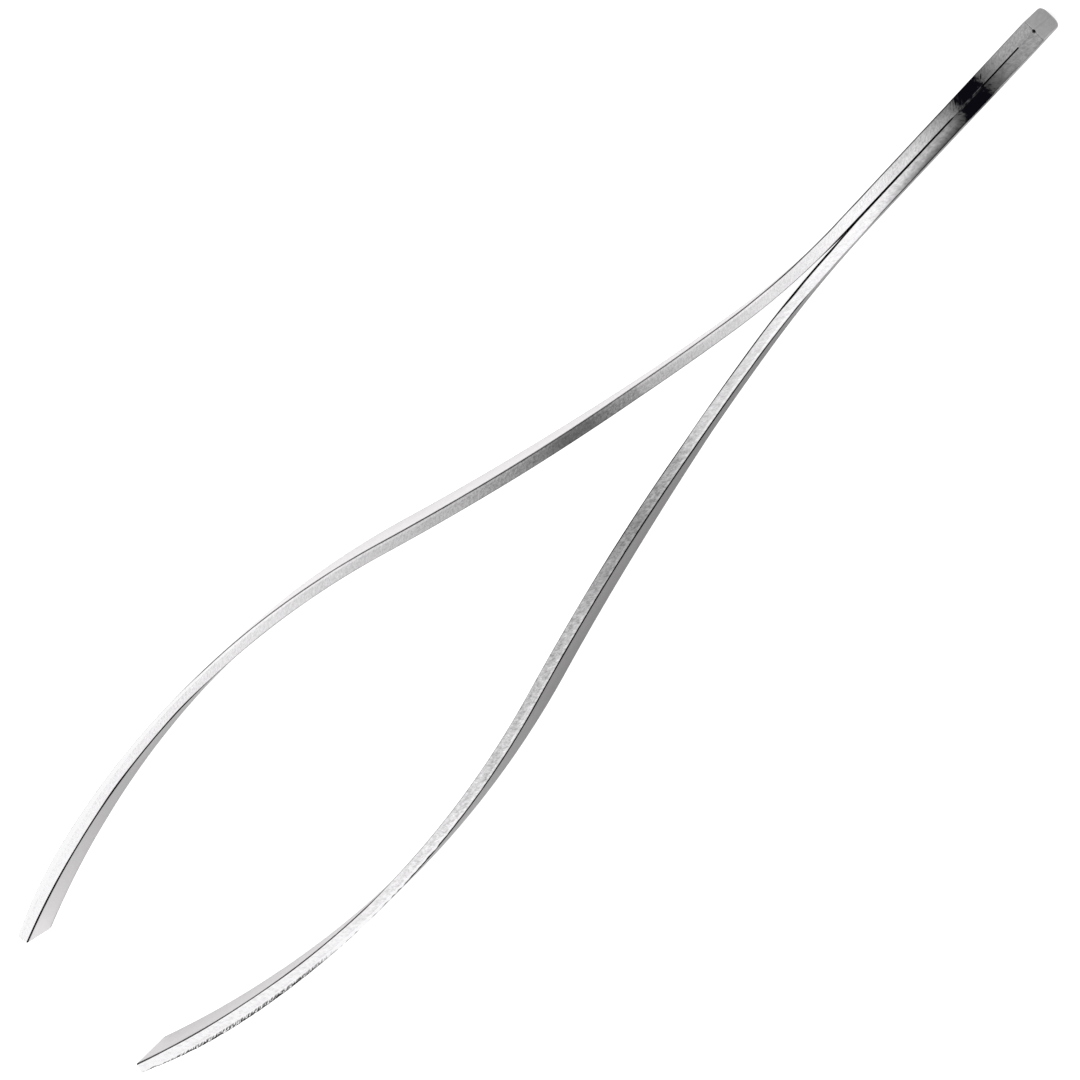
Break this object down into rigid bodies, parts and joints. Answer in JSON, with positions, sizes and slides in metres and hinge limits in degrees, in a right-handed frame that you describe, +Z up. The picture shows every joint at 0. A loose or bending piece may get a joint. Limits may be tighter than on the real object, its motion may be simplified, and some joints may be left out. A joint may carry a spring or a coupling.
{
  "type": "crucible tongs",
  "caption": "Spring crucible tongs: two long bent steel strips welded side by side at the tail, bowed out unequally and brought back to blunt tips.",
  "frame": {"origin": "centre of the bounding box in plan, at the bottom: on the lying plane, midway between the arms' outermost faces, halfway from the tail's end to the tips", "axes": "+X from the tail to the tips, +Y towards the left arm, +Z up across the strips' width"},
  "size_m": [0.25, 0.046, 0.01],
  "materials": {
    "strip_steel": "ground edges, brushed faces",
    "tail_steel": "ground, with a dark heat mark over the spot weld",
    "weld_steel": "ground flush"
  },
  "bodies": {
    "tail": {"left_tail": "tail_steel", "right_tail": "tail_steel", "end_weld": "weld_steel", "spot_weld": "weld_steel", "left_spring": "strip_steel", "right_spring": "strip_steel"},
    "left_side": {"left_arm": "strip_steel"},
    "right_side": {"right_arm": "strip_steel"}
  },
  "joints": [
    {"name": "left_flex", "type": "hinge", "parent": "tail", "child": "left_side", "pos_m": [-0.06, 0.00544, 0.005], "axis": [0, 0, -1], "range_deg": [0, 3.75], "stiffness_Nm_per_rad": 22, "deforming": ["left_spring"]},
    {"name": "right_flex", "type": "hinge", "parent": "tail", "child": "right_side", "pos_m": [-0.06, 0.00171, 0.005], "axis": [0, 0, 1], "range_deg": [0, 3.75], "stiffness_Nm_per_rad": 22, "deforming": ["right_spring"]}
  ]
}
